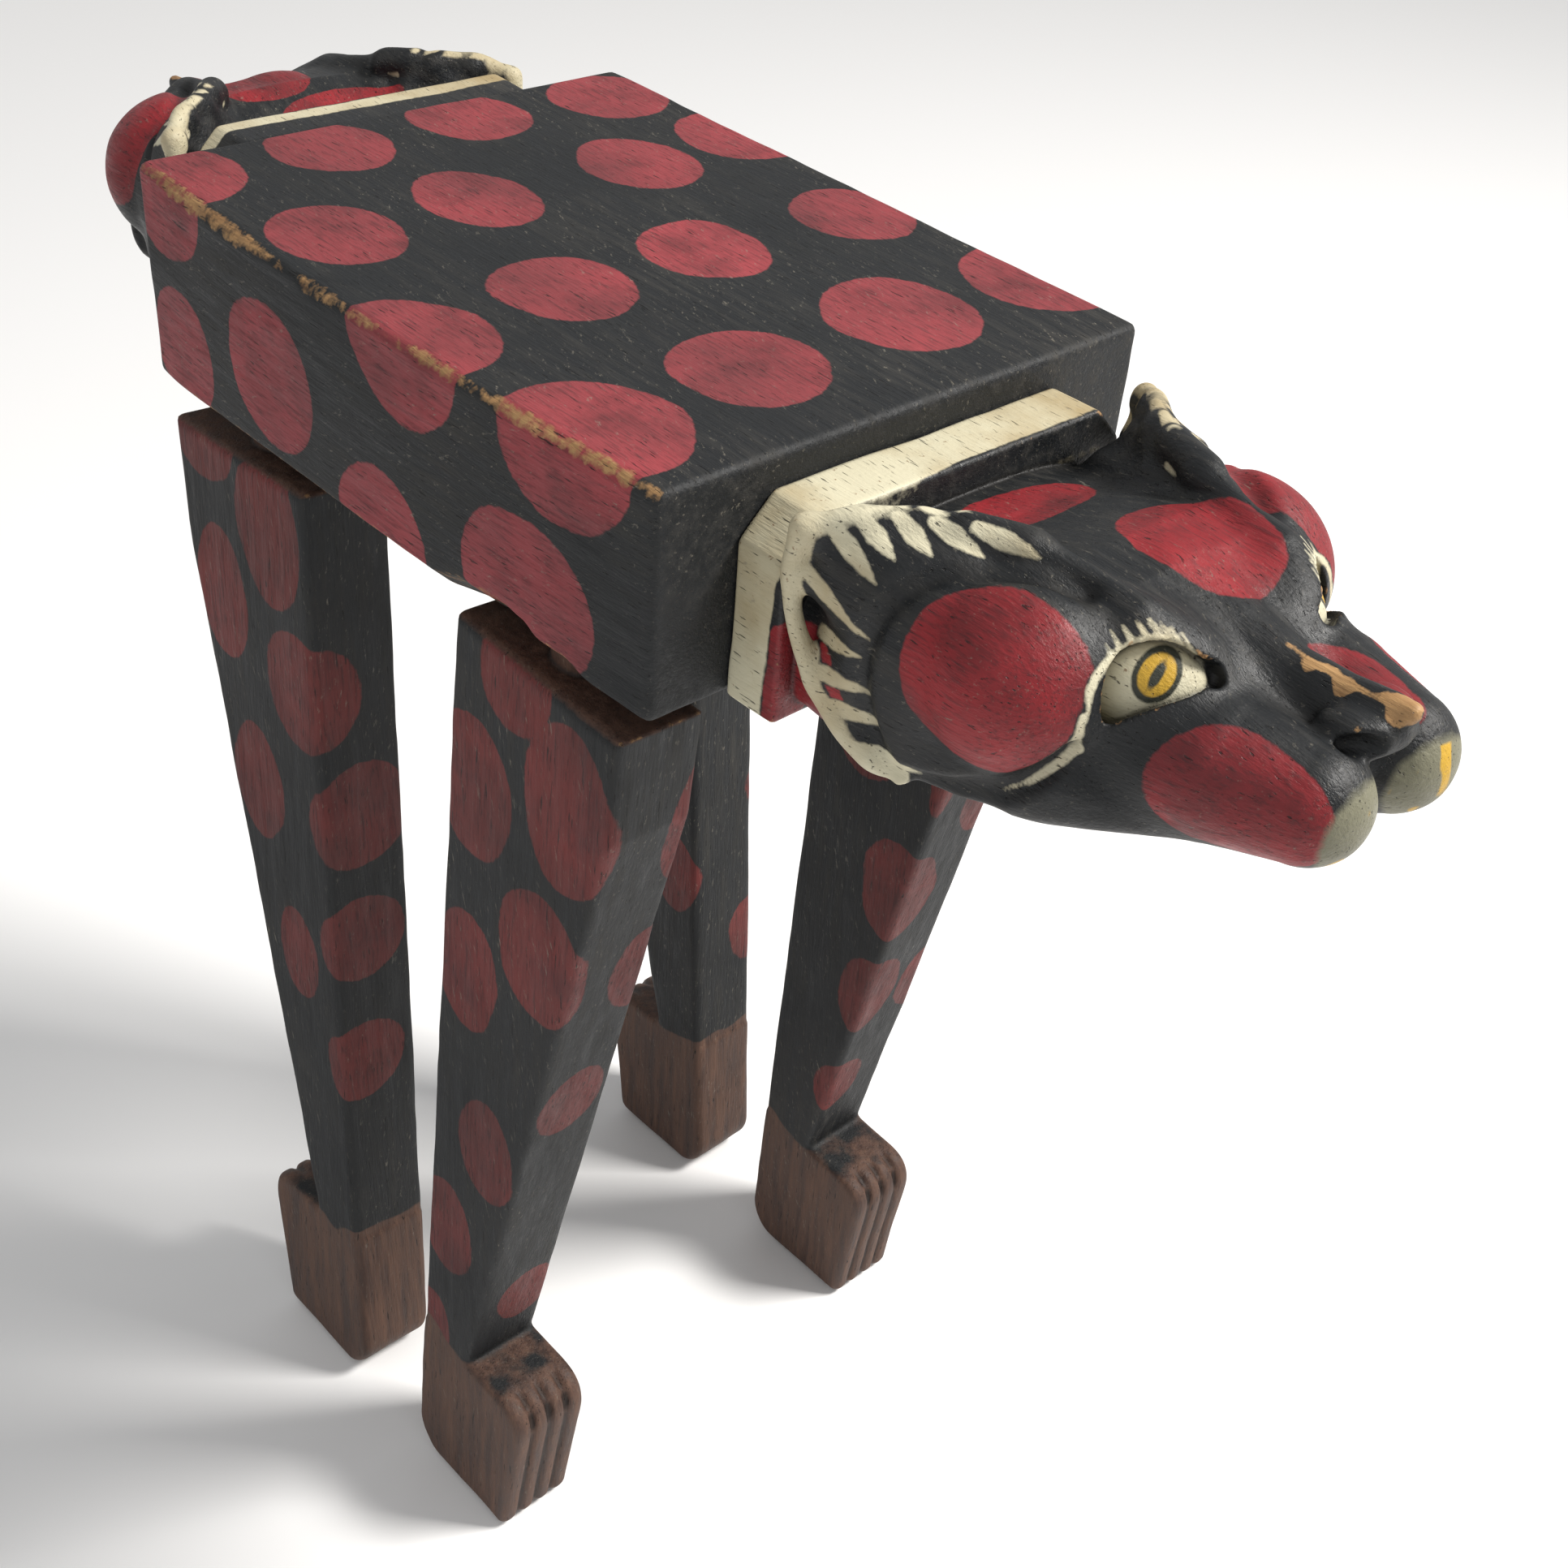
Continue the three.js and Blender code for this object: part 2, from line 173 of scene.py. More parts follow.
def surface_net(field, origin, step):
    """Vertices and quads of the zero surface of a sampled field, one vertex in each crossed cell."""
    inside = field < 0
    corners = np.array(list(np.ndindex(2, 2, 2)))
    shape = np.array(field.shape) - 1

    def corner_view(values, corner):
        return values[tuple(slice(c, c + n) for c, n in zip(corner, shape))]

    count = sum(corner_view(inside, corner).astype(np.int8) for corner in corners)
    crossed = (count > 0) & (count < 8)
    cells = np.argwhere(crossed)
    total = np.zeros((len(cells), 3))
    hits = np.zeros(len(cells))
    for axis in range(3):
        for start in corners[corners[:, axis] == 0]:
            end = start.copy()
            end[axis] = 1
            a = field[tuple((cells + start).T)]
            b = field[tuple((cells + end).T)]
            hit = (a < 0) != (b < 0)
            along = np.where(hit, a / np.where(hit, a - b, 1), 0)
            total += hit[:, None] * start
            total[:, axis] += along
            hits += hit
    vertices = origin + step * (cells + total / hits[:, None])

    number = np.full(crossed.shape, -1, int)
    number[crossed] = np.arange(len(cells))
    quads = []
    for axis in range(3):
        u, v = (axis + 1) % 3, (axis + 2) % 3
        spans = [slice(1, n) for n in shape]
        spans[axis] = slice(0, shape[axis])
        ahead = list(spans)
        ahead[axis] = slice(1, shape[axis] + 1)
        first = inside[tuple(spans)]
        second = inside[tuple(ahead)]
        edges = np.argwhere(first != second)
        leaving = first[tuple(edges.T)]
        base = edges.copy()
        base[:, u] += 1
        base[:, v] += 1
        ring = []
        for du, dv in ((-1, -1), (0, -1), (0, 0), (-1, 0)):
            place = base.copy()
            place[:, u] += du
            place[:, v] += dv
            ring.append(number[tuple(place.T)])
        ring = np.stack(ring, axis=1)
        quads.append(np.where(leaving[:, None], ring, ring[:, ::-1]))
    return vertices, np.concatenate(quads)


def field_slope(field, points, reach=0.4):
    """Unit direction in which the field grows."""
    slopes = []
    for axis in range(3):
        shift = np.zeros(3)
        shift[axis] = reach
        slopes.append(field(*(points + shift).T) - field(*(points - shift).T))
    slope = np.stack(slopes, axis=1)
    return slope / np.maximum(np.linalg.norm(slope, axis=1), 1e-9)[:, None]


def carved(field, low, high, step, mirrored=False):
    """Vertices and quads of a field's zero surface inside a box. A mirrored field is the same at -y."""
    axes = [np.arange(math.floor(a / step), math.ceil(b / step) + 1) * step for a, b in zip(low, high)]
    if mirrored:
        half = axes[1][axes[1] >= 0]
        values = field(*np.meshgrid(axes[0], half, axes[2], indexing="ij", sparse=True))
        values = np.concatenate([values[:, :0:-1], values], axis=1)
        axes[1] = np.concatenate([-half[:0:-1], half])
    else:
        values = field(*np.meshgrid(*axes, indexing="ij", sparse=True))
    vertices, quads = surface_net(values, np.array([axis[0] for axis in axes]), step)
    for _ in range(2):
        push = np.clip(field(*vertices.T), -0.5 * step, 0.5 * step)
        vertices = vertices - push[:, None] * field_slope(field, vertices)
    return vertices, quads


# ---- The head: x out from the seat's end, y across, z up from the neck's underside ----

COLLAR_LENGTH = 18
COLLAR_HALF = 64
COLLAR_HEIGHTS = {"front": 57.5, "rear": 65.5}
COLLAR_CHAMFER = 11

# The rear head looks down: its slope from the collar, how much lower its muzzle is, how much shorter it is.
REAR_SLOPE = 0.11
REAR_DROP = 8
REAR_PULL = 17

# Distance from the seat, half width, top and bottom of the bare skull.
SKULL = np.array([
    (0, 58, 48, 0),
    (20, 58, 48, 0),
    (40, 61, 53, 0.5),
    (60, 62, 60, 2),
    (75, 60, 64.5, 4),
    (90, 54, 64, 6),
    (105, 44, 59.5, 9),
    (118, 34, 54, 11),
    (130, 26, 48, 14),
    (145, 18, 40, 18),
    (156, 12, 36, 24),
])


def skull(p):
    """The bare skull, boxier and wider below its middle."""
    half, top, bottom = (np.interp(p[0], SKULL[:, 0], SKULL[:, i]) for i in (1, 2, 3))
    middle, tall = (top + bottom) / 2, (top - bottom) / 2
    low = ease(middle - p[2], 0, 12)
    half = half + 5 * low * ease(p[0], 80, 100)
    power = 2.9 + 3.5 * low
    size = np.abs(p[1] / half) ** power + np.abs((p[2] - middle) / tall) ** power
    body = (size ** (1 / power) - 1) * np.minimum(half, tall)
    return np.maximum(body, np.maximum(p[0] - 150, -p[0]))


def collar(p, height):
    """The square block round the neck, its top edges chamfered."""
    block = p[1] - COLLAR_HALF
    top = p[2] - height
    slant = (block + top + COLLAR_CHAMFER) / math.sqrt(2)
    ends = np.abs(p[0] - COLLAR_LENGTH / 2) - COLLAR_LENGTH / 2
    for face in (top, slant, ends, -p[2]):
        block = both(block, face, 1.2)
    return block


# The leaf-shaped ear: its crest runs from the back tip to the brow, its back edge down to the jaw.
CREST = [(23.5, 65, 61.5), (32, 57.5, 66), (42, 47.5, 67), (54, 39.5, 67), (67, 34, 67), (82, 30, 65),
         (97, 28, 62.5)]
BACK_EDGE = [(23.5, 65, 61.5), (21.5, 66, 50), (24, 65.5, 36), (30, 64, 23), (38, 62, 13), (48, 60, 7),
             (58, 59, 6)]
LID = [(97, 41, 35), (97, 39.5, 46), (99.5, 35, 55), (106, 30, 60.5), (113, 26, 59), (118, 23, 53)]
EYE_SLIT = [(98.5, 41, 34.5, 1.5), (101, 39, 43.5, 6), (105, 34.5, 51, 8.5), (110.5, 29.5, 53.5, 7),
            (116, 25, 51.5, 2.5)]
EYEBALL = ((101, 24.5, 45.5), (17, 13.5, 14))
CHEEK = ((77, 40, 41), (28, 27, 26))
CHEEK_GROOVE = [(57, 62, 7), (68, 58.5, 9.5), (78, 57.3, 13), (87.5, 56.2, 17.5), (96, 53.6, 26),
                (101, 49, 35)]
CHEEK_CREASE = [(57, 62, 7), (49.5, 62, 17.5), (46.7, 64.8, 34), (51, 63, 52), (59, 53, 62), (72, 43.5, 66),
                (87, 35, 65)]


def thick(path, start, end):
    """A path with a radius that goes evenly from start to end."""
    return [(*point, radius) for point, radius in zip(path, np.linspace(start, end, len(path)))]


def ear(p):
    """Two mounds and a fan of ribs out to the rim, with a rounded bead along the crest and back edge."""
    leaf = join(ellipsoid(p, (58, 44, 40), (26, 19, 25)), ellipsoid(p, (45, 48, 37), (24, 14, 25), yaw=8), 4)
    ribs = [
        (CREST[0], 14),
        (CREST[1], 14),
        (CREST[2], 14),
        (CREST[4], 10),
        (BACK_EDGE[1], 15),
        (BACK_EDGE[3], 16),
        (BACK_EDGE[5], 14),
    ]
    for (x, y, z), deep in ribs:
        leaf = join(leaf, rod(p, [(x + 1, y - 3, z - 2, 2.5), (66, 44, 40, deep)]), 9)
    leaf = join(leaf, rod(p, bent(thick(CREST[:5], 2, 3))), 5)
    return join(leaf, rod(p, bent(thick(BACK_EDGE, 2, 2.5))), 5)


def eyeball(p):
    """The ball that stands in the eye's slit."""
    return ellipsoid(p, *EYEBALL, yaw=-30, pitch=-10)


def eye(p, body):
    """The brow swells over the eye, a slit is cut in it, and the ball is left standing in the slit."""
    body = join(body, ellipsoid(p, (101, 26, 47), (19, 13, 16), yaw=-30), 8)
    body = cut(body, rod(p, bent(EYE_SLIT)), 1)
    body = cut(body, rod(p, [(108, 28, 57, 2), (116.5, 22.5, 53, 3.5)]), 1.5)
    return join(body, eyeball(p), 0.6)


def nose(p, body):
    """A bridge with a sharp ridge, the nostrils beside it, and the split lip below."""
    bridge = [(86, 0, 52, 13), (106, 0, 49, 11), (125, 0, 46.5, 8.5), (140, 0, 47, 7.5), (151, 0, 49, 7)]
    ridge = [(108, 0, 54, 3.5), (125, 0, 53.5, 2.5), (140, 0, 54.5, 2.2), (157, 0, 57, 2)]
    lip = [(168, 0, 42, 2.5), (162, 0, 30, 2.2), (154, 0, 17, 2), (140, 0, 9, 1.5)]
    body = join(body, rod(p, bridge), 4)
    body = join(body, rod(p, ridge), 6)
    body = join(body, ellipsoid(p, (148, 7.5, 49.5), (9, 5.5, 5), yaw=-15), 3)
    body = cut(body, ellipsoid(p, (153, 10.5, 49.5), (7, 3, 3), yaw=-25, pitch=15), 1.5)
    body = cut(body, ellipsoid(p, (163, 0, 40), (12, 7.5, 6.5)), 3)
    return cut(body, rod(p, bent(lip)), 3)


def trough(p, body):
    """The trough between the ears, with a hollow dug in behind each crest."""
    body = cut(body, rod(p, [(18, 30, 62, 8), (34, 30, 64, 8)]), 5)
    return cut(body, rod(p, [(20, 47, 57, 5), (42, 34, 61, 3)]), 4)


def head_field(x, y, z, collar_height):
    """One head with its neck and collar, the same on both sides."""
    p = (x, np.abs(y), z)
    body = skull(p)
    body = join(body, ear(p), 4)
    body = join(body, rod(p, bent(thick(CREST[3:], 3, 3))), 7)
    body = trough(p, body)
    muzzle_lobe = rod(p, [(98, 25, 31, 20), (124, 22, 33, 18.5), (147, 17.5, 33.5, 15.5)])
    body = join(body, muzzle_lobe, 3)
    body = join(body, ellipsoid(p, *CHEEK), 1.5)
    body = cut(body, rod(p, bent(thick(CHEEK_GROOVE, 1.6, 2.6))), 3.5)
    body = cut(body, rod(p, bent(thick(CHEEK_CREASE, 1.2, 2))), 5)
    body = nose(p, body)
    body = eye(p, body)
    return np.minimum(body, collar(p, collar_height))


def looking_down(points):
    """The same head, shorter and tipped down from the collar."""
    x = points[:, 0]
    tipped = points.copy()
    tipped[:, 0] -= REAR_PULL * ease(x, 28, 82)
    tipped[:, 2] -= REAR_SLOPE * np.maximum(x - COLLAR_LENGTH, 0) + REAR_DROP * ease(x, 90, 140)
    return tipped


# ---- A leg: x out from its middle, y across its thickness, z up from its shoulder ----

LEG_LEAN = math.radians(3)
LEG_SPLAY = math.radians(1.8)
SHOULDER_WIDTH = 72
SHOULDER_DEPTH = 36
LEG_THICKNESS = 31
LEG_LENGTH = 390
SHOULDER_HEIGHT = 389.13
LEG_OUT = 76.5
LEG_ALONG = 74.55
ANKLE_WIDTH = 27
PAW_HEIGHT = 75
PAW_LENGTH = 60
TENON_RADIUS = 10
TENON_LENGTH = 46
TENON_OFFSET = 3
TOE_GAP = 7.6
GROOVE_RADIUS = 1.3


def leg_place(side, end):
    """Where a leg stands: side is 1 on the right, end is 1 at the front."""
    outwards = side * end
    place = Matrix.Translation((LEG_ALONG, outwards * LEG_OUT, SHOULDER_HEIGHT))
    place = place @ Matrix.Rotation(outwards * LEG_SPLAY, 4, "X") @ Matrix.Rotation(LEG_LEAN, 4, "Y")
    if end < 0:
        place = Matrix.Rotation(math.pi, 4, "Z") @ place
    return np.array(place)


def carried(place, points):
    """Points carried from a leg's own place into the frame."""
    return points @ place[:3, :3].T + place[:3, 3]


LEG_STANDS = leg_place(1, 1)


def leg_field(x, y, z):
    """A tapering board with a toed paw, cut flat at the floor, and a round tenon on top."""
    u = x + SHOULDER_WIDTH / 2
    ankle = PAW_HEIGHT - LEG_LENGTH
    shaft = polygon(u, z, [
        (0, 0),
        (0, -LEG_LENGTH - 20),
        (ANKLE_WIDTH, -LEG_LENGTH - 20),
        (ANKLE_WIDTH, ankle),
        (SHOULDER_WIDTH, -SHOULDER_DEPTH),
        (SHOULDER_WIDTH, 0),
    ])
    toes = (u - PAW_LENGTH - 0.07 * (z - ankle)) / 1.002
    paw = both(both(z - ankle, toes, 15), -u, 1)
    profile = join(shaft, paw, 3)
    heel = (-u - z - LEG_LENGTH + 9) / math.sqrt(2)
    profile = both(profile, heel, 5)
    body = both(profile, np.abs(y) - LEG_THICKNESS / 2, 3.5)
    for toe in (-1, 0, 1):
        line = [(PAW_LENGTH - 14, ankle + 1.5), (PAW_LENGTH - 4, ankle - 3.5), (PAW_LENGTH - 1, ankle - 14),
                (PAW_LENGTH - 5.5, -LEG_LENGTH)]
        groove = [(at - SHOULDER_WIDTH / 2, toe * TOE_GAP, height, GROOVE_RADIUS) for at, height in line]
        body = cut(body, rod((x, y, z), groove), 1.5)
    sole = -(LEG_STANDS[2, 0] * x + LEG_STANDS[2, 1] * y + LEG_STANDS[2, 2] * z + LEG_STANDS[2, 3])
    body = both(body, sole, 6)
    tenon = rod((x, y, z), [(0, -TENON_OFFSET, end, TENON_RADIUS) for end in (0, TENON_LENGTH)])
    tenon = np.maximum(tenon, z - TENON_LENGTH)
    return join(body, tenon, 1)


# ---- The seat block, in the frame's own place ----

PEG_ALONG = 95
PEG_OUT = 20
PEG_HOLE = 4.9
PEG_HEIGHTS = (HEAD_BASE - 10, SEAT_TOP - 12)
MORTISE_RADIUS = TENON_RADIUS + 0.4


def worn_edge(x, y, z):
    """How far a point lies outside the worn slant along the left top edge."""
    depth = 1.4 + 0.8 * lumps(x, 0, 0, (17, 1, 1), 3) + 0.5 * lumps(x, 0, 0, (6, 1, 1), 4)
    bow = SIDE_BOW * (1 - (x / SEAT_END) ** 2)
    return ((-SEAT_HALF - bow - y) + (z - SEAT_TOP)) / math.sqrt(2) + depth


def splinter(x, y, z):
    """How far a point lies outside the torn strip over the front leg on the left."""
    depth = 4 * ease(x, 30, 50) * ease(x, 98, 84) * (0.8 + 0.4 * lumps(x, 0, 0, (7, 1, 1), 8))
    return ((-SEAT_HALF - y) + (HEAD_BASE - z)) / math.sqrt(2) + depth


def seat_field(x, y, z):
    """The block, with its worn and torn edges, and the holes for the leg tenons and the pegs."""
    belly = 1 - (x / SEAT_END) ** 2
    sides = np.maximum(y - SEAT_HALF, -SEAT_HALF - SIDE_BOW * belly - y)
    faces = np.maximum(z - SEAT_TOP, HEAD_BASE - CROWN * belly - z)
    block = both(sides, faces, 3)
    block = both(block, np.abs(x) - SEAT_END, 3)
    block = both(block, worn_edge(x, y, z), 1)
    block = both(block, splinter(x, y, z), 1)
    for side, end in ((1, 1), (1, -1), (-1, 1), (-1, -1)):
        place = leg_place(side, end)
        ends = [(0, -side * end * TENON_OFFSET, height) for height in (0, TENON_LENGTH + 0.5)]
        mortise = [(*point, MORTISE_RADIUS) for point in carried(place, np.array(ends))]
        block = cut(block, rod((x, y, z), mortise), 0.5)
        hole = [(end * PEG_ALONG, side * PEG_OUT, height, PEG_HOLE) for height in PEG_HEIGHTS]
        block = cut(block, rod((x, y, z), hole), 0.5)
    return block


# ---- Paint: how far each point lies inside a painted shape, in mm ----


def spot(p, centre, radii, seed=0, wobble=1.5, yaw=0, pitch=0):
    """A hand-painted spot with a slightly wavy edge."""
    edge = wobble * lumps(*(value + 37.0 * (seed + 1) for value in p), (15, 15, 15), 50 + seed)
    return edge - ellipsoid(p, centre, radii, yaw, pitch)


def spots(p, places, first_seed=0):
    """All the spots in a list of (centre, radii)."""
    return np.maximum.reduce([spot(p, c, r, first_seed + i) for i, (c, r) in enumerate(places)])


def flat(p, facing):
    """The same points seen flat, with the way that the surface faces taken out."""
    facing = np.array(facing) / np.linalg.norm(facing)
    depth = sum(value * part for value, part in zip(p, facing))
    return tuple(value - depth * part for value, part in zip(p, facing))


def brushed(p, path, facing, reach=6):
    """A brush stroke along (x, y, z, half width), on a surface that faces one way and passes close by."""
    seen = [(*flat(point[:3], facing), point[3]) for point in path]
    near = reach - rod(p, [(*point[:3], 0) for point in path])
    return np.minimum(-rod(flat(p, facing), seen), near)


def feather(p, start, run, width, facing):
    """A leaf-shaped stroke from a start, along a run."""
    path = [(*(np.array(start) + share * np.array(run)), half * width) for share, half in FEATHER_SHAPE]
    return brushed(p, path, facing)


FEATHER_SHAPE = [(0, 0.7), (0.4, 1), (0.75, 0.6), (1, 0.1)]

SEAT_SPOTS = [
    ((-105, -90, 465), (24, 24, 24)),
    ((-102, -35, 465), (19, 19, 12)),
    ((-104, 18, 465), (20.5, 20, 12)),
    ((-100, 71, 465), (20.5, 20, 12)),
    ((-45, -70, 465), (21, 19, 12)),
    ((-48, -20, 465), (22, 18, 12)),
    ((-47, 41, 465), (22, 19, 12)),
    ((-50, 88, 465), (22, 22, 16)),
    ((21.5, -92, 465), (24, 24, 24)),
    ((16, -37.5, 465), (21, 21, 12)),
    ((15, 15, 465), (21, 19, 12)),
    ((18, 73, 465), (21, 19, 12)),
    ((85, -84, 465), (27, 27, 26)),
    ((81, -26, 465), (22, 22, 12)),
    ((78, 33, 465), (25, 22, 12)),
    ((81, 90, 465), (25, 25, 18)),
    ((-100, -91, 414), (19, 12, 19)),
    ((-46, -94, 428), (23, 12, 22)),
    ((9, -95, 404), (20, 12, 20)),
    ((72.5, -93, 415), (27, 12, 22)),
    ((-92, 91, 420), (21, 12, 20)),
    ((-24, 91, 424), (22, 12, 21)),
    ((34, 91, 412), (20, 12, 21)),
    ((98, 91, 424), (20, 12, 20)),
]


def seat_paint(p):
    """The seat's red spots and its bare wood."""
    x, y, z = p
    tear = np.minimum(splinter(x, y, z) - 0.2, 3)
    return {"red": spots(p, SEAT_SPOTS), "bare": np.maximum(worn_edge(x, y, z) + 0.2, tear)}


# Spots on the legs, as centre and radii in the frame's place.
LEG_SPOTS = {
    "front_left": [
        ((48, -94, 338), (19, 12, 25)), ((91, -94, 354), (19, 12, 29)), ((46, -96, 265), (15, 12, 24)),
        ((81, -95, 294), (19, 12, 24)), ((58, -97, 194), (15, 12, 22)), ((36, -98, 139), (16, 12, 22)),
        ((29, -100, 78), (10, 12, 21)), ((66, -93, 384), (16, 12, 16)), ((84, -82, 226), (15, 13, 16)),
        ((57, -80, 107), (13, 12, 16)), ((106, -58, 346), (12, 13, 26)), ((93, -66, 287), (12, 12, 20)),
    ],
    "rear_left": [
        ((-58, -93, 371), (18, 14, 26)), ((-44, -92, 319), (19, 16, 22)), ((-33, -82, 271), (13, 19, 21)),
        ((-29, -86, 221), (12, 17, 17)), ((-26, -90, 166), (11, 17, 17)), ((-88, -95, 335), (15, 12, 24)),
        ((-72, -96, 268), (15, 12, 24)), ((-94, -93, 389), (18, 12, 16)), ((-52, -98, 205), (12, 12, 20)),
    ],
    "front_right": [
        ((80, 67, 236), (17, 16, 24)), ((73, 70, 176), (16, 16, 22)), ((62, 73, 116), (13, 13, 17)),
        ((106, 62, 288), (16, 12, 22)), ((60, 61, 300), (18, 12, 22)),
        ((82, 60, 352), (20, 12, 24)), ((60, 94, 330), (19, 12, 25)), ((92, 93, 280), (14, 12, 22)),
        ((50, 97, 240), (17, 12, 22)), ((66, 99, 175), (15, 12, 20)), ((40, 100, 130), (12, 12, 18)),
        ((94, 92, 372), (16, 12, 20)),
    ],
    "rear_right": [
        ((-60, 94, 352), (19, 12, 24)), ((-94, 93, 330), (15, 12, 24)), ((-66, 96, 268), (17, 12, 23)),
        ((-34, 97, 300), (14, 12, 22)), ((-44, 98, 206), (16, 12, 21)), ((-58, 99, 150), (13, 12, 19)),
        ((-28, 99, 132), (10, 12, 18)), ((-70, 60, 350), (19, 12, 24)), ((-44, 62, 280), (17, 12, 22)),
        ((-74, 63, 226), (15, 12, 21)), ((-40, 66, 168), (14, 12, 20)), ((-104, 74, 310), (14, 14, 22)),
    ],
}


def leg_paint(p, local, name, seed):
    """A leg's red spots, its brown paw and the brown end grain on its shoulder."""
    height = PAW_HEIGHT - LEG_LENGTH - local[2]
    ragged = 2 * lumps(*p, (9, 9, 9), 90 + seed)
    edge = 5 * ease(local[0], -20, -34)
    brown = np.maximum(height + ragged + edge, 1.2 * (local[2] + 0.9))
    return {"red": spots(p, LEG_SPOTS[name], 10 * seed), "brown": brown}


NECK_SPOTS = {"front": ((37, 1, 50), (12, 24, 20)), "rear": ((50, -10, 56), (14, 24, 20))}
HEAD_SPOTS = [
    ((86, 10, 64), (22, 19, 16)),
    ((82, -63, 47), (24, 27, 24)),
    ((82, 58, 54), (23, 24, 22)),
    ((140, -35, 35), (26, 15, 17)),
    ((138, 35, 35), (24, 15, 16)),
    ((25, -62, 13), (16, 12, 21)),
    ((24, 62, 10), (14, 12, 18)),
    ((140, 11, 52), (19, 10, 9)),
    ((84, 2, 2), (24, 26, 12)),
]
CREST_FACING = (0.1, 0.7, 0.7)
BACK_FACING = (0, 1, 0.25)
INNER_FACING = (0.4, -0.6, 0.7)
IRIS = (108.5, 32, 53)
IRIS_FACING = (0.52, 0.74, 0.42)
LASH_FACING = (0.42, 0.6, 0.68)
LASH = np.array((-4.5, -0.5, 2.5))


def ear_strokes(q):
    """The pale band round the ear and the feathers that point in from it."""
    crest = [
        ((28, 61.5, 64.5), (18, 0, -9)),
        ((34, 56, 66), (13, 0, -6)),
        ((41, 49.5, 66.5), (12, 0, -5)),
        ((48, 44, 66.5), (14, -2, -3)),
        ((57, 38, 66.5), (16, -4, -1)),
    ]
    back = [
        ((23, 65.5, 52), (24, 0, -10)),
        ((26, 65, 34), (19, 0, 2)),
        ((29, 65, 25), (20, -1, 2)),
        ((34, 64, 17), (19, -1, 2)),
        ((44, 62, 9), (20, -2, 1)),
    ]
    inner = [
        ((29, 59, 65), (12, -8, -5)),
        ((35, 53, 66), (12, -8, -4)),
        ((42, 48, 66.5), (13, -7, -4)),
        ((49, 43, 66.5), (14, -6, -3)),
    ]
    feathers = [feather(q, start, run, 2.5, CREST_FACING) for start, run in crest]
    feathers += [feather(q, start, run, 2.2, INNER_FACING) for start, run in inner]
    feathers += [feather(q, start, run, 2.3, BACK_FACING) for start, run in back]
    band = [-rod(q, bent(thick(CREST[:6], 3.8, 0.5))), -rod(q, bent(thick(BACK_EDGE, 4.5, 3.5)))]
    return np.maximum.reduce(feathers + band)


def iris_place(q):
    """Places across and up the eye, from the middle of the iris."""
    facing = np.array(IRIS_FACING) / np.linalg.norm(IRIS_FACING)
    up = np.array((0.28, -0.15, 1))
    up -= up.dot(facing) * facing
    up /= np.linalg.norm(up)
    across = np.cross(up, facing)
    off = [value - middle for value, middle in zip(q, IRIS)]
    return sum(o * a for o, a in zip(off, across)), sum(o * u for o, u in zip(off, up))


def eye_paint(q):
    """The white of the eye, the iris, and the dark ring and slit in it."""
    across, up = iris_place(q)
    white = np.minimum(-rod(q, bent(EYE_SLIT)) + 1.2, 0.8 - np.abs(eyeball(q)))
    round_iris = 5 * (1 - np.hypot(across / 4.8, up / 6.2))
    iris = np.minimum(white, round_iris)
    slit = 1.3 * (1 - np.hypot(across / 1.3, up / 3.8))
    ring = 0.7 - np.abs(round_iris)
    return white, iris, np.minimum(np.maximum(slit, ring), white + 0.3)


def lash_strokes(q):
    """A pale line over the lid and down behind the cheek, with lashes standing on it."""
    line = brushed(q, bent(thick([*CHEEK_GROOVE[4:], *LID[:5]], 1.0, 0.9)), LASH_FACING, 11)
    groove = brushed(q, bent(thick(CHEEK_GROOVE[3:], 0.4, 1.3)), BACK_FACING, 4)
    roots = bent(LID[1:5], 3)[1:]
    lashes = [brushed(q, [(*root, 0.8), (*(np.array(root) + LASH), 0.25)], LASH_FACING, 7) for root in roots]
    return np.maximum.reduce([line, groove, *lashes])


def head_paint(p, name):
    """A head's red spots, cream strokes, eyes, lips and the bare wood along its nose."""
    x, y, z = p
    q = (x, np.abs(y), z)
    ragged = 1.2 * lumps(x, y, z, (9, 22, 9), 21)
    collar_band = COLLAR_LENGTH - x - 1.0 - 3 * ease(z, 46, 38) + ragged
    if name == "rear":
        collar_band = np.minimum(collar_band, np.maximum(x - 11 + ragged, 52 - z))
    white, iris, ring = eye_paint(q)
    cream = np.maximum.reduce([collar_band, ear_strokes(q), white, lash_strokes(q)])
    crest = [(117, -1, 58, 0.4), (132, -2, 57, 1.4), (148, -3, 57, 2.1), (158, -2, 58, 3.4)]
    rubbed = 3 * lumps(x, y, z, (5, 4, 5), 71) - rod(p, crest)
    lips = spot(q, (160, 15, 32), (9, 14, 13), 72, 3)
    return {
        "red": np.minimum(spots(p, [NECK_SPOTS[name], *HEAD_SPOTS], 60), -cream - 0.5),
        "cream": cream,
        "ochre": np.maximum(iris, np.minimum(lips - 1, 3 * lumps(x, y, z, (3, 4, 8), 75) - 1.2)),
        "lips": lips,
        "dark": ring,
        "bare": rubbed,
    }


# ---- Meshes ----


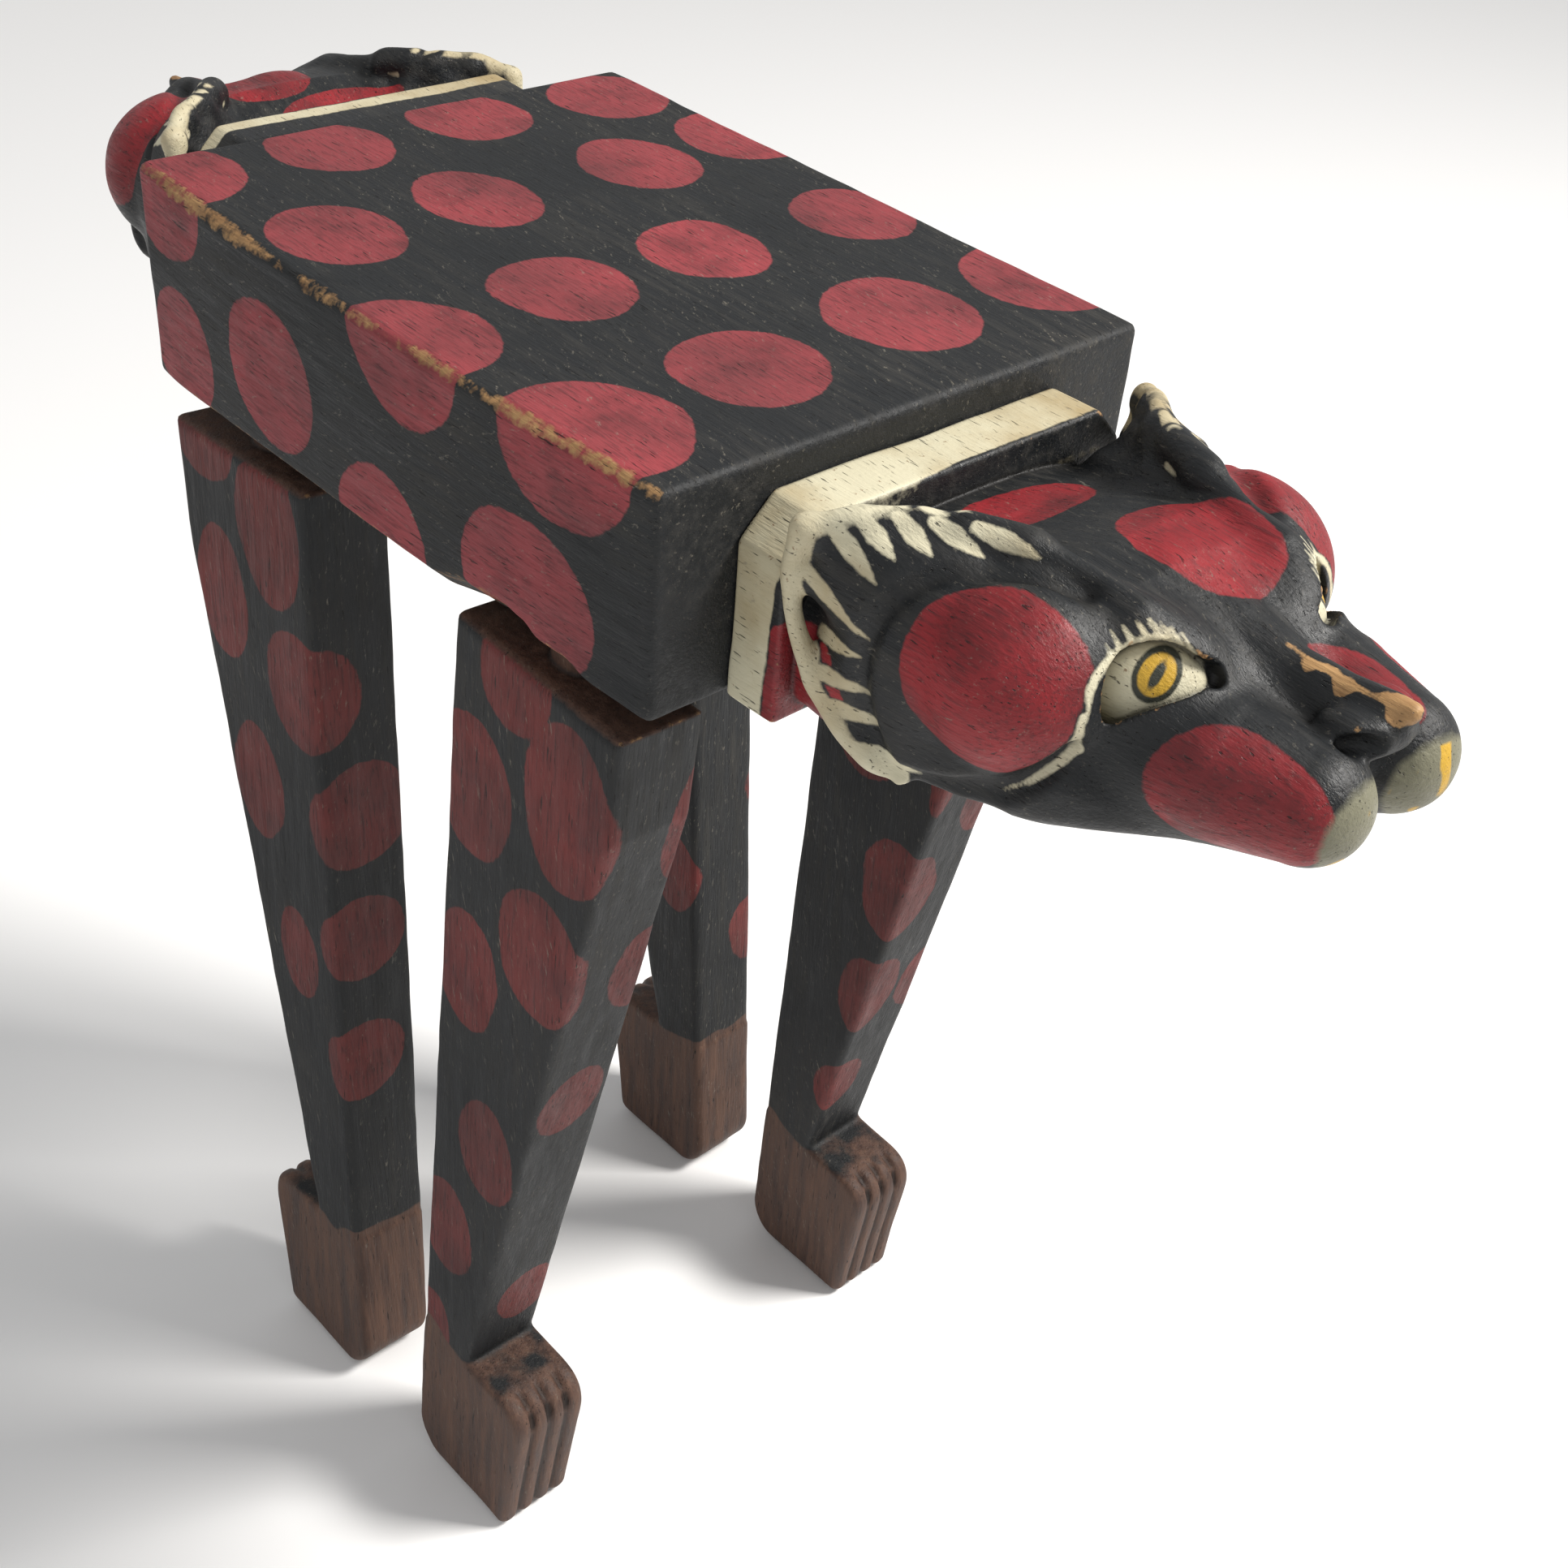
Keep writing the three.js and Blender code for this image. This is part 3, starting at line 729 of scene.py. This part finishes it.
def mesh_object(name, vertices, quads, layers):
    """An object from vertices in millimetres, with a float attribute for each layer of paint."""
    mesh = bpy.data.meshes.new(name)
    mesh.vertices.add(len(vertices))
    mesh.vertices.foreach_set("co", (np.asarray(vertices) * MM).astype(np.float32).ravel())
    mesh.loops.add(quads.size)
    mesh.loops.foreach_set("vertex_index", quads.astype(np.int32).ravel())
    mesh.polygons.add(len(quads))
    mesh.polygons.foreach_set("loop_start", np.arange(0, quads.size, 4, dtype=np.int32))
    mesh.polygons.foreach_set("use_smooth", np.ones(len(quads), bool))
    mesh.update(calc_edges=True)
    mesh.validate()
    for layer, values in layers.items():
        attribute = mesh.attributes.new(layer, "FLOAT", "POINT")
        attribute.data.foreach_set("value", np.asarray(values, np.float32))
    piece = bpy.data.objects.new(name, mesh)
    bpy.context.scene.collection.objects.link(piece)
    return piece


def roundness(field, points, reach=2.5):
    """How much the surface bulges at each point: above 0 on an outer edge, below 0 in a groove."""
    total = 0
    for axis in range(3):
        for way in (-reach, reach):
            shift = np.zeros(3)
            shift[axis] = way
            total = total + field(*(points + shift).T)
    return total / 6 - field(*points.T)


def weathered(vertices, normals, amount, seed):
    """Pushes a surface in and out a little, as hand tools leave it."""
    x, y, z = vertices.T
    wave = lumps(x, y, z, (26, 26, 26), seed) + 0.4 * lumps(x, y, z, (9, 9, 9), seed + 1)
    return vertices + amount * wave[:, None] * normals


def finish_piece(piece, node, material):
    piece.data.materials.append(material)
    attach(piece, "root")
    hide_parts(node)


# ---- Materials ----


def tone(red, green, blue):
    """A colour given as it looks on a screen, 0 to 255, as the shader's linear values."""
    return tuple((value / 255) ** 2.2 for value in (red, green, blue)) + (1.0,)


BLACK = tone(27, 29, 31)
FADED_BLACK = tone(66, 64, 60)
SCUFF = tone(128, 122, 110)
CREAM = tone(196, 190, 164)
OLD_CREAM = tone(150, 130, 92)
DARK_RED = tone(66, 32, 34)
OCHRE = tone(184, 146, 52)
LIP_GREY = tone(112, 110, 92)
WOOD = tone(184, 146, 100)
DARK_WOOD = tone(108, 76, 48)
EYE_LINE = tone(52, 54, 46)
PORE = tone(14, 12, 11)
# Near-black painted shade, laid into grooves and hollows.
HOLLOW_SHADE = tone(16, 14, 12)

# Fresh and deep red.
HEAD_REDS = (tone(146, 38, 44), tone(98, 32, 36))
SEAT_REDS = (tone(146, 60, 65), tone(102, 49, 52))
# The legs' red is darker than the seat's because painted shade is laid into it.
SHADED_LEG_REDS = (tone(108, 44, 42), tone(74, 38, 36))
PAW_BROWNS = (tone(62, 46, 40), tone(98, 74, 62))


def add(tree, kind, inputs=None, **settings):
    """Adds a node, sets its properties, and sets or links its inputs."""
    node = tree.nodes.new(kind)
    for key, value in settings.items():
        setattr(node, key, value)
    for socket, value in (inputs or {}).items():
        if isinstance(value, bpy.types.NodeSocket):
            tree.links.new(value, node.inputs[socket])
        else:
            node.inputs[socket].default_value = value
    return node


def blend_colour(tree, factor, first, second):
    node = add(tree, "ShaderNodeMix", {0: factor, 6: first, 7: second}, data_type="RGBA")
    return node.outputs[2]


def sums(tree, operation, first, second):
    return add(tree, "ShaderNodeMath", {0: first, 1: second}, operation=operation).outputs[0]


def weighted(tree, value, weight, rest):
    """value * weight + rest."""
    return add(tree, "ShaderNodeMath", {0: value, 1: weight, 2: rest}, operation="MULTIPLY_ADD").outputs[0]


def noise(tree, place, scale, detail, roughness):
    """Noise stretched by scale, in lumps to the metre along x, y and z."""
    stretched = add(tree, "ShaderNodeMapping", {"Vector": place, "Scale": scale})
    cloud = add(tree, "ShaderNodeTexNoise", {
        "Vector": stretched.outputs[0],
        "Scale": 1.0,
        "Detail": detail,
        "Roughness": roughness,
    })
    return cloud.outputs["Fac"]


def window(tree, value, start, end):
    """0 where a value is at start, 1 where it is at end, and limited to that."""
    node = add(tree, "ShaderNodeMapRange", {"Value": value, "From Min": start, "From Max": end})
    return node.outputs[0]


def painted(tree, layer, ragged, soft=0.3, spread=1.6):
    """Where a layer of paint lies, with the small raggedness that a brush leaves."""
    distance = add(tree, "ShaderNodeAttribute", attribute_name=layer).outputs["Fac"]
    shaken = weighted(tree, ragged, spread, distance)
    middle = spread / 2
    return window(tree, shaken, middle - soft, middle + soft)


GRAINS = {"x": (30, 260, 260), "z": (260, 260, 22)}


def grain_noises(tree, place, grain):
    """The noises that every layer of the old paint shares."""
    along = GRAINS[grain]
    return {
        "streaks": noise(tree, place, along, 6, 0.65),
        "fine": noise(tree, place, tuple(4 * value for value in along), 3, 0.6),
        "clouds": noise(tree, place, (18, 18, 18), 5, 0.6),
        "smudges": noise(tree, place, (45, 45, 45), 4, 0.6),
        "specks": noise(tree, place, (420, 420, 420), 3, 0.7),
        "ragged": noise(tree, place, (330, 330, 330), 3, 0.6),
        "pores": noise(tree, place, tuple(5 * value for value in along), 2, 0.5),
        "scuffs": scuff_noise(tree, place, tuple(3 * value for value in along)),
    }


def scuff_noise(tree, place, scale):
    """Noise whose streaks run a little across the grain."""
    slanted = add(tree, "ShaderNodeMapping", {"Vector": place, "Rotation": (0.2, 0.3, 0.4)}).outputs[0]
    return noise(tree, slanted, scale, 5, 0.75)


def old_black(tree, noises):
    faded = sums(tree, "MULTIPLY", window(tree, noises["streaks"], 0.45, 0.75),
                 window(tree, noises["clouds"], 0.35, 0.75))
    return blend_colour(tree, faded, BLACK, FADED_BLACK)


def old_red(tree, noises, red, deep_red):
    """Red with smoky patches, and the black below showing through where it is thin."""
    colour = blend_colour(tree, window(tree, noises["clouds"], 0.3, 0.7), deep_red, red)
    smoky = sums(tree, "MULTIPLY", window(tree, noises["smudges"], 0.5, 0.72), 0.6)
    colour = blend_colour(tree, smoky, colour, DARK_RED)
    thin = sums(tree, "MULTIPLY", window(tree, noises["fine"], 0.5, 0.75), 0.6)
    return blend_colour(tree, thin, colour, BLACK)


def stained_cream(tree, noises):
    colour = blend_colour(tree, window(tree, noises["clouds"], 0.45, 0.75), CREAM, OLD_CREAM)
    return blend_colour(tree, window(tree, noises["specks"], 0.66, 0.76), colour, DARK_WOOD)


def small_layers(tree, noises, colour, layers, brown):
    """The layers that only some pieces have, from the lowest up."""
    ragged = noises["ragged"]
    if "brown" in layers:
        ground = blend_colour(tree, window(tree, noises["streaks"], 0.35, 0.7), *brown)
        colour = blend_colour(tree, painted(tree, "brown", ragged, 0.6), colour, ground)
    if "lips" in layers:
        colour = blend_colour(tree, painted(tree, "lips", ragged, 1.0), colour, LIP_GREY)
    if "cream" in layers:
        cream = stained_cream(tree, noises)
        colour = blend_colour(tree, painted(tree, "cream", ragged, 0.35, 1.2), colour, cream)
    if "ochre" in layers:
        colour = blend_colour(tree, painted(tree, "ochre", ragged, 0.3, 0.4), colour, OCHRE)
    if "dark" in layers:
        colour = blend_colour(tree, painted(tree, "dark", ragged, 0.25, 0.4), colour, EYE_LINE)
    return colour


def wear_and_hollow_shade(tree, noises, colour, layers, pores):
    """Scuffs, bare wood on edges, open pores, and painted shade that darkens the hollows."""
    bulge = add(tree, "ShaderNodeAttribute", attribute_name="round").outputs["Fac"]
    scuffs = sums(tree, "MULTIPLY", window(tree, noises["scuffs"], 0.6, 0.68),
                  window(tree, noises["clouds"], 0.3, 0.6))
    colour = blend_colour(tree, sums(tree, "MULTIPLY", scuffs, 0.55), colour, SCUFF)
    timber = blend_colour(tree, window(tree, noises["streaks"], 0.3, 0.7), DARK_WOOD, WOOD)
    colour = blend_colour(tree, window(tree, weighted(tree, noises["ragged"], 0.9, bulge), 1.15, 1.3), colour,
                          timber)
    if "bare" in layers:
        bare = painted(tree, "bare", noises["ragged"], 0.3, 2.4)
        colour = blend_colour(tree, bare, colour, timber)
    colour = blend_colour(tree, sums(tree, "MULTIPLY", pores, 0.8), colour, PORE)
    # Painted shade: the colour goes darker where the surface curves inwards, in grooves and hollows.
    hollow_shade = window(tree, bulge, -0.15, -0.6)
    return blend_colour(tree, sums(tree, "MULTIPLY", hollow_shade, 0.75), colour, HOLLOW_SHADE)


def relief(tree, noises, pores):
    """The surface turned by the grain, the specks and the open pores."""
    height = sums(tree, "MULTIPLY", pores, -1.0)
    height = weighted(tree, noises["streaks"], 0.8, height)
    height = weighted(tree, noises["specks"], 0.25, height)
    height = weighted(tree, noises["fine"], 0.6, height)
    return add(tree, "ShaderNodeBump", {"Height": height, "Strength": 0.7, "Distance": 0.0005}).outputs[0]


def new_material(name):
    """A material, its tree, its shader and the place on the object."""
    material = bpy.data.materials.new(name)
    material.use_nodes = True
    tree = material.node_tree
    place = add(tree, "ShaderNodeTexCoord").outputs["Object"]
    return material, tree, tree.nodes["Principled BSDF"], place


def paint_material(name, grain, reds, layers, gloss, brown=None):
    """Old brush paint on wood, with its grain along one axis."""
    material, tree, shader, place = new_material(name)
    noises = grain_noises(tree, place, grain)
    pores = window(tree, noises["pores"], 0.34, 0.28)
    red = old_red(tree, noises, *reds)
    colour = blend_colour(tree, painted(tree, "red", noises["ragged"]), old_black(tree, noises), red)
    colour = small_layers(tree, noises, colour, layers, brown)
    colour = wear_and_hollow_shade(tree, noises, colour, layers, pores)
    tree.links.new(colour, shader.inputs["Base Color"])
    shine = add(tree, "ShaderNodeMapRange", {
        "Value": noises["streaks"],
        "From Min": 0.3,
        "From Max": 0.7,
        "To Min": gloss,
        "To Max": gloss + 0.25,
    })
    tree.links.new(shine.outputs[0], shader.inputs["Roughness"])
    tree.links.new(relief(tree, noises, pores), shader.inputs["Normal"])
    shader.inputs["Specular IOR Level"].default_value = 0.35
    return material


def bare_wood_material():
    material, tree, shader, place = new_material("cut_hardwood")
    streaks = noise(tree, place, (300, 300, 25), 5, 0.6)
    specks = noise(tree, place, (500, 500, 60), 3, 0.6)
    colour = blend_colour(tree, window(tree, streaks, 0.3, 0.7), DARK_WOOD, WOOD)
    tree.links.new(colour, shader.inputs["Base Color"])
    tree.links.new(window(tree, specks, -0.4, 1.2), shader.inputs["Roughness"])
    bump = add(tree, "ShaderNodeBump", {"Height": streaks, "Strength": 0.4, "Distance": 0.0003})
    tree.links.new(bump.outputs[0], shader.inputs["Normal"])
    return material


# ---- The pieces ----


def build_heads():
    step = 0.9
    layers = ("lips", "cream", "ochre", "dark", "bare")
    material = paint_material("head_paint", "x", HEAD_REDS, layers, 0.38)
    for number, (name, end) in enumerate((("front", 1), ("rear", -1))):
        def field(x, y, z, height=COLLAR_HEIGHTS[name]):
            return head_field(x, y, z, height)

        vertices, quads = carved(field, (-2, -72, -3), (166, 72, 72), step, mirrored=True)
        bulge = roundness(field, vertices)
        shaped = weathered(vertices, field_slope(field, vertices), 0.35, 30 + 2 * number)
        paint = head_paint(shaped.T, name)
        paint["round"] = bulge
        if name == "rear":
            shaped = looking_down(shaped)
        turned = shaped * np.array([end, end, 1]) + np.array([end * (SEAT_END + 0.3), 0, HEAD_BASE])
        piece = mesh_object(name + "_head_carving", turned, quads, paint)
        finish_piece(piece, name + "_head", material)


def build_legs():
    step = 1.05
    vertices, quads = carved(leg_field, (-40, -19, -394), (40, 19, 48), step)
    normals = field_slope(leg_field, vertices)
    bulge = roundness(leg_field, vertices)
    # The leg paint's reds are darkened as painted shade.
    material = paint_material("leg_paint", "z", SHADED_LEG_REDS, ("brown",), 0.5, PAW_BROWNS)
    legs = [(side, end) for end in (1, -1) for side in (1, -1)]
    for number, (side, end) in enumerate(legs):
        name = ("front" if end > 0 else "rear") + ("_right" if side > 0 else "_left")
        shaped = weathered(vertices, normals, 0.35, 40 + 2 * number)
        faces = quads
        if side * end < 0:
            shaped = shaped * np.array([1, -1, 1])
            faces = quads[:, ::-1]
        placed = carried(leg_place(side, end), shaped)
        placed[:, 2] = np.maximum(placed[:, 2], 0)
        layers = leg_paint(placed.T, shaped.T, name, number)
        layers["round"] = bulge
        piece = mesh_object(name + "_leg_carving", placed, faces, layers)
        finish_piece(piece, name + "_leg", material)


def build_seat():
    step = 1.3
    low = (-SEAT_END - 2, -SEAT_HALF - SIDE_BOW - 2, HEAD_BASE - CROWN - 2)
    vertices, quads = carved(seat_field, low, (SEAT_END + 2, SEAT_HALF + 2, SEAT_TOP + 2), step)
    normals = field_slope(seat_field, vertices)
    bulge = roundness(seat_field, vertices)
    shaped = weathered(vertices, normals, 0.3, 11)
    layers = seat_paint(shaped.T)
    layers["round"] = bulge
    piece = mesh_object("seat_block_carving", shaped, quads, layers)
    material = paint_material("seat_paint", "x", SEAT_REDS, ("bare",), 0.5)
    finish_piece(piece, "seat_block", material)


def finish_fixings():
    """The wedges and pegs keep their shape and get cut hardwood."""
    material = bare_wood_material()
    for name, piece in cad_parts.items():
        if name.endswith("_wedge") or name.endswith("_peg"):
            piece.data.materials.clear()
            piece.data.materials.append(material)


build_seat()
build_heads()
build_legs()
finish_fixings()


# ---- Stage ----


def floor():
    half = 6
    level = -0.0005
    mesh = bpy.data.meshes.new("floor")
    corners = [(x * half, y * half, level) for x, y in ((-1, -1), (1, -1), (1, 1), (-1, 1))]
    mesh.from_pydata(corners, [], [(0, 1, 2, 3)])
    plane = bpy.data.objects.new("floor", mesh)
    bpy.context.scene.collection.objects.link(plane)
    material = bpy.data.materials.new("pale_floor")
    material.use_nodes = True
    shader = material.node_tree.nodes["Principled BSDF"]
    shader.inputs["Base Color"].default_value = (0.9, 0.9, 0.9, 1)
    shader.inputs["Roughness"].default_value = 0.9
    mesh.materials.append(material)


def area_light(name, place, target, size, power, color=(1, 1, 1)):
    light = bpy.data.lights.new(name, "AREA")
    light.size = size
    light.energy = power
    light.color = color
    lamp = bpy.data.objects.new(name, light)
    lamp.location = place
    aim = Vector(target) - Vector(place)
    lamp.rotation_euler = aim.to_track_quat("-Z", "Y").to_euler()
    bpy.context.scene.collection.objects.link(lamp)


def lights():
    middle = (0, 0, 0.35)
    area_light("key", (1.1, 1.0, 2.0), middle, 0.6, 75, (1, 0.97, 0.93))
    area_light("fill", (0.6, -2.0, 1.4), middle, 2.0, 6)
    world = bpy.data.worlds.new("studio")
    world.use_nodes = True
    background = world.node_tree.nodes["Background"]
    background.inputs["Color"].default_value = (1, 1, 1, 1)
    background.inputs["Strength"].default_value = 0.5
    bpy.context.scene.world = world


CAMERA_PLACE = (0.4452, -0.3754, 0.7040)
CAMERA_AZIMUTH = 40.56
CAMERA_ELEVATION = 38.43
CAMERA_ROLL = 7.78
CAMERA_LENS = 47.12
CAMERA_SHIFT = (-0.0564, 0.0507)


def camera():
    lens = bpy.data.cameras.new("camera")
    lens.lens = CAMERA_LENS
    lens.sensor_width = 36
    lens.shift_x, lens.shift_y = CAMERA_SHIFT
    azimuth, elevation, roll = (math.radians(v) for v in (CAMERA_AZIMUTH, CAMERA_ELEVATION, CAMERA_ROLL))
    level = math.cos(elevation)
    back = Vector((math.sin(azimuth) * level, -math.cos(azimuth) * level, math.sin(elevation)))
    right = Vector((0, 0, 1)).cross(back).normalized()
    up = back.cross(right)
    rolled_right = right * math.cos(roll) + up * math.sin(roll)
    rolled_up = up * math.cos(roll) - right * math.sin(roll)
    station = bpy.data.objects.new("camera", lens)
    turn = Matrix((rolled_right, rolled_up, back)).transposed().to_4x4()
    station.matrix_world = Matrix.Translation(CAMERA_PLACE) @ turn
    bpy.context.scene.collection.objects.link(station)
    bpy.context.scene.camera = station
    bpy.context.scene.view_settings.view_transform = "Standard"


floor()
lights()
camera()
